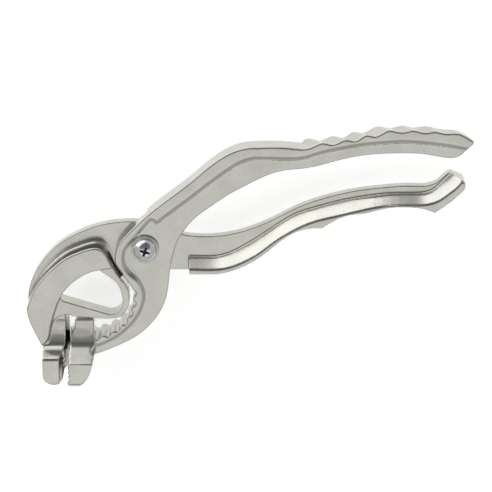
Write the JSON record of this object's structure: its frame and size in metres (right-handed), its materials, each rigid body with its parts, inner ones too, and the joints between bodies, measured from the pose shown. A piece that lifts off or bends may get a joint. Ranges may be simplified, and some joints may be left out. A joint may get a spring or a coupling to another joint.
{
  "type": "nutcracker",
  "caption": "Plier-type hand nutcracker: two cast levers on one pivot screw, a grooved round jaw that closes on a triangular lobe, and a toothed cupped tip.",
  "frame": {"origin": "centre of the base of the closed tool's box, on the plane that the backs of the cupped tips rest on", "axes": "+X along the tool towards the handle ends, +Y across it from the lower handle to the upper handle, +Z along the pivot screw out of its head"},
  "size_m": [0.1827, 0.1105, 0.024],
  "materials": {
    "satin_nickel": "satin nickel plate on a zinc die casting, fine-grained faces and brighter edges",
    "bright_nickel": "bright nickel-plated steel screw head",
    "plain_steel": "zinc-plated steel washers and nut, satin",
    "nylon": "nylon locking ring, semi-gloss"
  },
  "bodies": {
    "back_arm": {"back_lever": "satin_nickel", "pivot_screw": "bright_nickel", "head_washer": "plain_steel", "friction_shim": "plain_steel", "rear_washer": "plain_steel", "lock_nut": "plain_steel", "nut_insert": "nylon"},
    "front_arm": {"front_lever": "satin_nickel"}
  },
  "joints": [
    {"name": "lever_pivot", "type": "hinge", "parent": "back_arm", "child": "front_arm", "pos_m": [-0.0421, 0.0041, 0.012], "axis": [0, 0, 1], "range_deg": [0, 30]}
  ]
}
